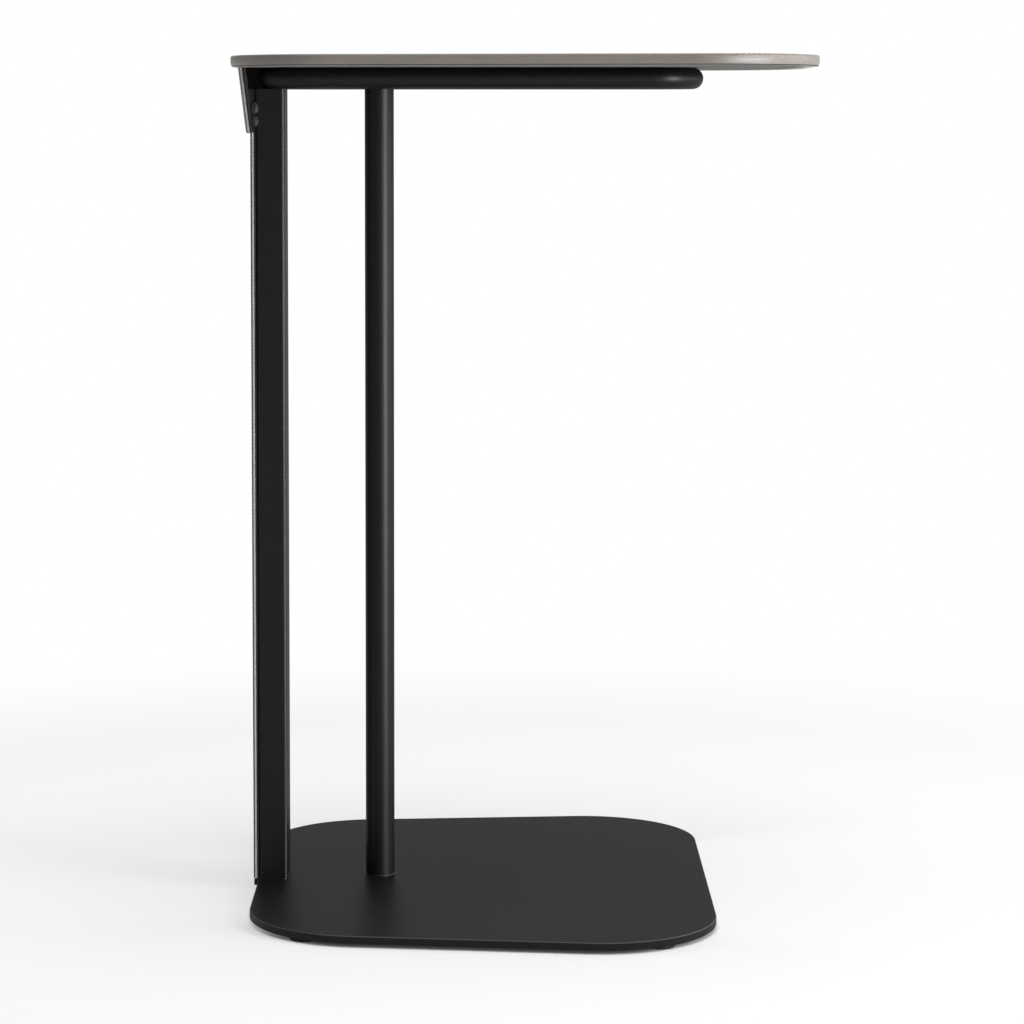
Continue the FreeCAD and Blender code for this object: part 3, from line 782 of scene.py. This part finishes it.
class SIDE_TABLE_OT_strip_leather(bpy.types.Operator):
    """Lays the thick leather strip down the rear of the flat upright"""

    bl_idname = "side_table.strip_leather"
    bl_label = "Strip Leather"

    def execute(self, context):
        sizes, colours = chosen(context)
        low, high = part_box("leather_strip")
        tip = 1.0 * MM
        raw_from = low.x + 1.3 * MM
        raw_to = high.x - 0.75 * MM
        heights = levels_of(low.z, high.z, tip, 300, both_ends=True)
        sections = []
        for z in heights:
            pinch = end_pinch(min(z - low.z, high.z - z), tip)
            face = low.x + pinch
            back = high.x - pinch * 0.3
            width = high.y - pinch * 0.6
            section = []
            for x, y, slot in leather_section(face, back, width, sizes, raw_from, raw_to, ROUNDED_DARKER):
                if abs(y) > width - 0.3 * MM:
                    fray = noise.noise(Vector((x * 900, math.copysign(7, y), z * 260)))
                    y -= math.copysign(0.08 * MM * (1 + fray), y)
                section.append((x, y, slot))
            sections.append(section)
        mesh_code = bmesh.new()
        loft_leather(mesh_code, sections, heights)
        leather = leather_finish("taupe_strip_leather", tuple(colours.leather), 1.0)
        raw = raw_edge_finish("raw_leather_edge", tuple(colours.raw_edge))
        # The rounded edges outside the raw band get a darker leather, 0.22 of its colour
        rounded_darker = leather_finish("strip_edges_darker", shade(colours.leather, 0.22), 1.0)
        piece = to_object("strip_leather", mesh_code, [leather, raw, rounded_darker])
        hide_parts("leather_strip")
        return {"FINISHED"}


class SIDE_TABLE_OT_strip_tape(bpy.types.Operator):
    """Lays the black tape between the strip and the flat upright, folded out over the plate's edge"""

    bl_idname = "side_table.strip_tape"
    bl_label = "Strip Tape"

    def execute(self, context):
        low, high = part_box("strip_backing_tape")
        plate_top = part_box("base_plate")[1].z
        fold = 2.6 * MM
        fold_top = plate_top - 0.5 * MM
        edge = 0.3 * MM
        heights = [low.z, low.z + 0.15 * MM, low.z + 0.6 * MM, plate_top - 1.0 * MM, plate_top - 0.25 * MM]
        heights += steps_between(plate_top, high.z, 120)
        mesh_code = bmesh.new()
        rings = []
        for z in heights:
            back = low.x - (fold if z < fold_top else 0.0) + end_pinch(z - low.z, 0.6 * MM)
            width = high.y - 0.05 * MM * (1 + noise.noise(Vector((0.0, 3.0, z * 300))))
            half = [(high.x, width - edge), (high.x - edge, width), (back + edge, width)]
            half += [(back, width - edge), (back, width * 0.5)]
            points = half + [(x, -y) for x, y in reversed(half)]
            rings.append(ring_of(mesh_code, [(x, y, z) for x, y in points]))
        join_rings(mesh_code, rings)
        close_ends(mesh_code, rings)
        tape = matt_finish("black_tape", TAPE, 1500.0, 0.0001)
        piece = to_object("strip_tape", mesh_code, [tape], smooth=False)
        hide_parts("strip_backing_tape")
        return {"FINISHED"}


class SIDE_TABLE_OT_tab_leather(bpy.types.Operator):
    """Lays the short slanting leather tab from the strip's head to the top"""

    bl_idname = "side_table.tab_leather"
    bl_label = "Tab Leather"

    def execute(self, context):
        sizes, colours = chosen(context)
        low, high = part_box("leather_tab")
        tip = 1.2 * MM
        lean = tab_lean()
        heights = levels_of(low.z, high.z, tip, 60, both_ends=False)
        sections = []
        for z in heights:
            pinch = end_pinch(z - low.z, tip)
            back = low.x + TAB_THICKNESS + (high.z - z) * lean
            face = back - TAB_THICKNESS + pinch
            width = high.y - pinch * 0.4
            sections.append(leather_section(face, back - pinch * 0.6, width, sizes, back - 1.3 * MM, back))
        mesh_code = bmesh.new()
        loft_leather(mesh_code, sections, heights)
        leather = leather_finish("taupe_tab_leather", tuple(colours.leather), 1.0)
        # Painted light: the tab's raw edge is 1.1 times lighter than the strip's, as it faces the light
        raw = raw_edge_finish("raw_tab_edge_lightened", shade(colours.raw_edge, 1.1))
        piece = to_object("tab_leather", mesh_code, [leather, raw])
        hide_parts("leather_tab")
        return {"FINISHED"}


class SIDE_TABLE_OT_edge_stitches(bpy.types.Operator):
    """Sews both edges of the strip and the tab, on their rear faces and along their side seams"""

    bl_idname = "side_table.edge_stitches"
    bl_label = "Edge Stitches"

    def execute(self, context):
        sizes, colours = chosen(context)
        low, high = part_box("leather_strip")
        tab_low, tab_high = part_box("leather_tab")
        lean = tab_lean()
        upward = Vector((0, 0, 1))
        rearward = Vector((-1, 0, 0))
        slope = Vector((lean, 0, -1)).normalized()
        tab_rearward = Vector((-1, 0, -lean)).normalized()
        strip_count = int((high.z - low.z - 6 * MM) / sizes.strip_stitch)
        tab_count = int((tab_high.z - tab_low.z - 5 * MM) / sizes.tab_stitch)
        radius = sizes.thread / 2
        mesh_code = bmesh.new()

        def sew(place, along, first, last, outward, thickness, sunk):
            start = place + along * first
            add_stitch(mesh_code, start, place + along * last, outward, radius * thickness, -radius * sunk)

        for side in SIDES:
            sideways = Vector((0, side, 0))
            seam_y = side * (high.y - sizes.seam_inset)
            edge_y = side * (high.y - 0.05 * MM)
            run = upward * sizes.strip_stitch
            for number in range(strip_count):
                z = low.z + 3 * MM + number * sizes.strip_stitch
                sew(Vector((low.x, seam_y, z)), run, 0.12, 0.88, rearward, 1.0, 0.3)
                sew(Vector((high.x - 0.1 * MM, edge_y, z)), run, 0.25, 0.75, sideways, 0.7, 0.45)
            run = slope * sizes.tab_stitch
            for number in range(tab_count):
                down = 2.5 * MM + number * sizes.tab_stitch
                x = tab_low.x + down * lean
                z = tab_high.z - down
                sew(Vector((x, seam_y, z)), run, 0.12, 0.88, tab_rearward, 1.0, 0.3)
                sew(Vector((x + 3.45 * MM, edge_y, z)), run, 0.2, 0.75, sideways, 0.9, 0.45)
        thread = thread_finish("black_thread", tuple(colours.thread))
        piece = to_object("edge_stitches", mesh_code, [thread])
        return {"FINISHED"}


class SIDE_TABLE_OT_wedge_filler(bpy.types.Operator):
    """Fills the gap behind the tab with its grey band, rough filler and the slot beside the flat upright, and
    a near-black painted shade over its head
    """

    bl_idname = "side_table.wedge_filler"
    bl_label = "Wedge Filler"

    def execute(self, context):
        low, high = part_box("tab_wedge")
        bar_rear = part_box("upright_bar")[0].x
        loop_low, loop_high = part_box("frame_loop")
        foot_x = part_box("leather_strip")[0].x - TAB_GAP
        tube = (loop_high.z - loop_low.z) / 2
        bend = loop_high.y - tube
        bend_x = loop_low.x + loop_high.y
        seam = 0.75 * MM
        slit_top = high.z - 20.3 * MM

        def rear_of(z):
            return foot_x + (low.x - foot_x) * (z - low.z) / (high.z - low.z)

        def band_of(z):
            return (0.9 + 1.5 * (z - low.z) / (high.z - low.z)) * MM

        def saddle_of(z):
            off = z - (loop_low.z + tube)
            return bend + math.sqrt(max(0.0, (tube + 0.1 * MM) ** 2 - off * off))

        def head_end(z):
            return min(high.x, bend_x - math.sqrt(saddle_of(z) ** 2 - (high.y - 0.1 * MM) ** 2))

        def outer_y(x, z, side):
            rough = noise.fractal(Vector((x * 700, side * 3.0, z * 700)), 0.8, 2.0, 4)
            away = x - rear_of(z)
            sunk = 0.05 * MM + 0.06 * MM * abs(rough)
            if away < seam:
                sunk = 0.5 * MM
            elif away > seam + band_of(z):
                sunk = 0.45 * MM + 0.22 * MM * rough
            beside = max(0.0, 1 - abs(z - slit_top) / (6.2 * MM))
            if bar_rear - 2.0 * MM < x < bar_rear + 0.01 * MM:
                sunk += 1.6 * MM * min(1.0, beside * 3)
            return high.y - sunk

        def inner_y(x, z, side):
            reach = math.sqrt(max(0.0, saddle_of(z) ** 2 - (x - bend_x) ** 2))
            return min(reach, outer_y(x, z, side) - 0.05 * MM)

        # Slot 2 is the near-black filler: painted shade above the loop, under the top's overhang
        def slot_of(place):
            away = place.x - rear_of(place.z)
            if seam < away < seam + band_of(place.z):
                return 1
            return 2 if place.z > loop_low.z and away > seam else 0

        def row_of(side, z, places, depth_of):
            return ring_of(mesh_code, [(x, side * depth_of(x, z, side), z) for x in places])

        mesh_code = bmesh.new()
        walls = []
        for side in SIDES:
            wall = []
            for z in steps_between(low.z, high.z, 90):
                wall.append(row_of(side, z, steps_between(rear_of(z), bar_rear, 26), outer_y))
            fill_grid(mesh_code, wall, slot_of)
            walls.append(wall)
            sheets = ([], [])
            for z in steps_between(loop_low.z + 0.05 * MM, high.z, 30):
                places = steps_between(bar_rear - 0.05 * MM, head_end(z), 12)
                for sheet, depth_of in zip(sheets, (outer_y, inner_y)):
                    sheet.append(row_of(side, z, places, depth_of))
            for sheet in sheets:
                fill_grid(mesh_code, sheet, lambda place: 2)
            join_grids(mesh_code, *sheets, slot=2)
        join_grids(mesh_code, *walls)
        filler = matt_finish("rough_filler", FILLER, 1300.0, 0.0003)
        band = matt_finish("grey_band", GREY_BAND, 1100.0, 0.0002)
        near_black_shade = matt_finish("filler_painted_shade_head", PAINTED_SHADE_FILLER, 900.0, 0.0001, 0.04)
        piece = to_object("wedge_filler", mesh_code, [filler, band, near_black_shade], smooth=False)
        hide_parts("tab_wedge")
        return {"FINISHED"}


class SIDE_TABLE_OT_weld_beads(bpy.types.Operator):
    """Lays the lumpy weld beads over the joint between the wedge and the flat upright"""

    bl_idname = "side_table.weld_beads"
    bl_label = "Weld Beads"

    def execute(self, context):
        low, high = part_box("corner_weld_beads")
        mesh_code = bmesh.new()
        for side in SIDES:
            for z in (high.z - BEAD_HALF_HEIGHT, low.z + BEAD_HALF_HEIGHT):
                self.add_bead(mesh_code, low, high, side, z)
        # Painted highlight: the beads' coat is 8 times lighter than the coat on the rest of the frame
        metal = powder_coat_finish("coated_weld_lightened", shade(context.scene.side_table_colours.coat, 8.0), 0.00015)
        piece = to_object("weld_beads", mesh_code, [metal])
        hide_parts("corner_weld_beads")
        return {"FINISHED"}

    def add_bead(self, mesh_code, low, high, side, z):
        """One bead: a lumpy half ellipsoid with its flat back in the joint."""
        middle_x = (low.x + high.x) / 2
        half_width = (high.x - low.x) / 2
        back = high.y - BEAD_SWELL - 0.2 * MM

        def point_at(tilt, turn):
            across = math.cos(tilt) * math.cos(turn)
            along = math.cos(tilt) * math.sin(turn)
            lump = noise.fractal(Vector((across * 1.7 + z * 900, side * 5.0, along * 2.6)), 0.9, 2.1, 3)
            ripple = 0.13 * math.sin(along * 9.0 + 2.2 * across * across)
            out = min(1.0, max(0.0, math.sin(tilt) * (0.78 + 0.22 * lump + ripple)))
            wide = 0.95 + 0.05 * lump * math.cos(tilt)
            x = middle_x + half_width * across * wide
            y = side * (back + (BEAD_SWELL + 0.1 * MM) * out)
            return x, y, z + BEAD_HALF_HEIGHT * along * wide

        *tilts, upright = steps_between(0.0, math.pi / 2, 12)
        rings = [ring_of(mesh_code, [point_at(tilt, turn) for turn in turns_of(40)]) for tilt in tilts]
        join_rings(mesh_code, rings)
        mesh_code.faces.new(rings[0])
        tip = mesh_code.verts.new(point_at(upright, 0.0))
        for first, second in zip(rings[-1], rings[-1][1:] + rings[-1][:1]):
            mesh_code.faces.new((first, second, tip))


# Stage

def add_panel_lamp(name, place, target, width, height, power, shows="both"):
    """A flat soft lamp that the camera doesn't see. It may light the faces alone, or show in gloss alone."""
    lamp = bpy.data.lights.new(name, "AREA")
    lamp.shape = "RECTANGLE"
    lamp.size = width
    lamp.size_y = height
    lamp.energy = power
    thing = bpy.data.objects.new(name, lamp)
    thing.location = place
    thing.rotation_euler = (Vector(target) - thing.location).to_track_quat("-Z", "Y").to_euler()
    thing.visible_camera = False
    thing.visible_diffuse = shows != "gloss"
    thing.visible_glossy = shows != "faces"
    bpy.context.scene.collection.objects.link(thing)
    return thing


def seen_ray(tree):
    """1 for a ray from the camera, and 1 for that or one by way of a reflection or a clear piece."""
    rays = add_node(tree, "ShaderNodeLightPath").outputs
    mirrored = larger(tree, rays["Is Glossy Ray"], rays["Is Transmission Ray"])
    return rays["Is Camera Ray"], larger(tree, rays["Is Camera Ray"], mirrored)


def background(tree, strength):
    """White surroundings of that strength."""
    inputs = {"Color": WHITE, "Strength": strength}
    return add_node(tree, "ShaderNodeBackground", inputs).outputs["Background"]


class SIDE_TABLE_OT_stage(bpy.types.Operator):
    """Sets up the pale floor, the white surroundings, the soft lamps and the camera"""

    bl_idname = "side_table.stage"
    bl_label = "Studio"

    def execute(self, context):
        studio = context.scene.side_table_studio
        self.add_floor(tuple(studio.floor))
        self.add_surroundings(context, studio.ambient)
        self.add_lamps(studio)
        self.add_camera(context, studio.lens)
        context.scene.view_settings.view_transform = "Standard"
        return {"FINISHED"}

    def add_lamps(self, studio):
        """Some lamps only light the faces and some only show in gloss, as the photograph has them apart."""
        middle = (0.0, 0.0, 0.40)
        side_power = studio.side_power
        add_panel_lamp(
            "key_soft_box", (1.80, -0.93, 0.62), (-0.19, 0.0, 0.40), 0.12, 1.10, studio.key_power, "faces"
        )
        glint = add_panel_lamp(
            "key_glint", (1.464, -1.347, 0.34), (-0.05, 0.0, 0.34), 0.28, 0.68, studio.glint_power, "gloss"
        )
        add_panel_lamp("side_panel", (2.12, -0.86, 0.9), middle, 1.5, 1.5, side_power, "faces")
        add_panel_lamp("side_sheen", (2.3, 0.1, 0.9), middle, 1.5, 1.5, side_power, "gloss")
        add_panel_lamp("top_panel", (0.2, -0.2, 3.4), (0.0, 0.0, 0.30), 2.0, 2.0, studio.top_power)
        self.keep_off_plate(glint)

    def keep_off_plate(self, lamp):
        """Keeps one lamp's gloss off the base plate, which would mirror it to a camera behind the table."""
        plate = bpy.data.collections.new("base_plate_alone")
        plate.objects.link(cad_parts["base_plate"])
        lamp.light_linking.receiver_collection = plate
        plate.collection_objects[0].light_linking.link_state = "EXCLUDE"

    def add_floor(self, colour):
        """A wide flat floor."""
        mesh_code = bmesh.new()
        rings = []
        for radius in (0.6, 1.5, 4.0, 12.0, 40.0):
            points = [(radius * math.cos(turn), radius * math.sin(turn), 0.0) for turn in turns_of(64)]
            rings.append(ring_of(mesh_code, points))
        join_rings(mesh_code, rings)
        mesh_code.faces.new(rings[0])
        floor = link_mesh("studio_floor", mesh_code, [self.floor_finish(colour)])

    def floor_finish(self, colour):
        """Lit near the table, and plain white for the camera far away; near the plate, white is mixed in for
        the camera as painted light that lightens the table's shadow on the floor, most beyond the plate's
        ends.
        """
        finish, tree, point = new_finish("studio_floor")
        tone = between(tree, cloudy(tree, point, 3.0, 3.0), shade(colour, 0.985), colour)
        lit = add_node(tree, "ShaderNodeBsdfDiffuse", {"Color": tone}).outputs["BSDF"]
        white = add_node(tree, "ShaderNodeEmission", {"Color": WHITE, "Strength": 1.0}).outputs["Emission"]
        far_off = spread(tree, length_from_origin(tree, point), 0.30, 1.15, 0.0, 1.0, True)
        away, endward = self.distance_from_plate(tree, point)
        # Painted light: the white share lifts the floor's shadow close to the plate, more at its ends than
        # beside it
        shadow_lift_beside = spread(tree, away, 0.002, 0.022, 0.035, 0.45, True)
        most = spread(tree, place_of(tree, point)["X"], -0.3, 0.3, 0.54, 0.74, True)
        shadow_lift_at_ends = times(tree, spread(tree, away, 0.0, 0.003, 0.05, 1.0, True), most)
        beyond = larger(tree, shadow_lift_beside, times(tree, shadow_lift_at_ends, endward))
        _, seen = seen_ray(tree)
        share = times(tree, larger(tree, beyond, far_off), seen)
        mix_shaders(tree, share, lit, white, "ShaderNodeOutputMaterial")
        return finish

    def distance_from_plate(self, tree, point):
        """How far a floor point lies outside the plate, and from 0 beside it to 1 at its ends."""
        low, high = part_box("base_plate")
        place = place_of(tree, point)
        from_middle = unsigned(tree, minus(tree, place["X"], (low.x + high.x) / 2))
        over_end = minus(tree, from_middle, (high.x - low.x) / 2 - PLATE_CORNER)
        widening = times(tree, minus(tree, place["X"], high.x), PLATE_TAPER)
        across = minus(tree, unsigned(tree, place["Y"]), widening)
        over_side = minus(tree, across, high.y - PLATE_CORNER)
        over = {"X": larger(tree, over_end, 0.0), "Y": larger(tree, over_side, 0.0)}
        length = length_from_origin(tree, add_node(tree, "ShaderNodeCombineXYZ", over).outputs["Vector"])
        endward = combine(tree, "POWER", combine(tree, "DIVIDE", over["X"], length), 4.0)
        return minus(tree, length, PLATE_CORNER), endward

    def add_surroundings(self, context, ambient):
        """White where the camera or a reflection looks, and a soft grey that lights the table."""
        world = bpy.data.worlds.new("studio")
        world.use_nodes = True
        context.scene.world = world
        tree = world.node_tree
        tree.nodes.clear()
        direction = place_of(tree, add_node(tree, "ShaderNodeTexCoord").outputs["Generated"])
        camera_ray, seen = seen_ray(tree)
        above = spread(tree, direction["Z"], 0.12, 0.5, 1.0, 0.45, True)
        beside = spread(tree, direction["X"], -0.9, 0.3, 0.45, 1.0, True)
        behind = spread(tree, direction["Y"], -0.75, 0.1, 0.35, 1.0, True)
        far_right = spread(tree, direction["X"], 0.4, 0.9, 1.0, 0.6, True)
        room = times(tree, times(tree, above, times(tree, beside, far_right)), behind)
        from_right = spread(tree, direction["X"], -1.0, 1.0, ambient * 0.45, ambient * 1.4)
        white = background(tree, larger(tree, room, camera_ray))
        mix_shaders(tree, seen, background(tree, from_right), white, "ShaderNodeOutputWorld")

    def add_camera(self, context, lens):
        """The photograph's view: nearly level, a little under the height of the top."""
        view = bpy.data.cameras.new("table_camera")
        view.sensor_width = 36.0
        view.lens = lens
        view.shift_x, view.shift_y = CAMERA_SHIFT
        view.clip_start = 0.05
        view.clip_end = 200.0
        camera = bpy.data.objects.new("table_camera", view)
        camera.location = CAMERA_PLACE
        camera.rotation_euler = (math.pi / 2 - CAMERA_TILT, 0.0, CAMERA_TURN)
        context.scene.collection.objects.link(camera)
        context.scene.camera = camera


# Panel, and what runs the operators

OPERATORS = (
    SIDE_TABLE_OT_stage,
    SIDE_TABLE_OT_finishes,
    SIDE_TABLE_OT_top_leather,
    SIDE_TABLE_OT_top_stitches,
    SIDE_TABLE_OT_strip_leather,
    SIDE_TABLE_OT_strip_tape,
    SIDE_TABLE_OT_tab_leather,
    SIDE_TABLE_OT_edge_stitches,
    SIDE_TABLE_OT_wedge_filler,
    SIDE_TABLE_OT_weld_beads,
)


class SIDE_TABLE_PT_pieces(bpy.types.Panel):
    """Lists the pieces of the side table and its studio"""

    bl_label = "Side Table"
    bl_space_type = "VIEW_3D"
    bl_region_type = "UI"
    bl_category = "Side Table"

    def draw(self, context):
        column = self.layout.column()
        for operator in OPERATORS:
            column.operator(operator.bl_idname)


GROUPS = {
    "side_table_sizes": TableSizes,
    "side_table_colours": TableColours,
    "side_table_studio": StudioSettings,
}


CLASSES = (*GROUPS.values(), *OPERATORS, SIDE_TABLE_PT_pieces)


def register():
    for kind in CLASSES:
        bpy.utils.register_class(kind)
    for name, group in GROUPS.items():
        setattr(bpy.types.Scene, name, PointerProperty(type=group))


def unregister():
    for name in GROUPS:
        delattr(bpy.types.Scene, name)
    for kind in reversed(CLASSES):
        bpy.utils.unregister_class(kind)


def main():
    """Makes the whole table and its studio."""
    register()
    for operator in OPERATORS:
        group, name = operator.bl_idname.split(".")
        getattr(getattr(bpy.ops, group), name)()


if __name__ == "__main__":
    main()
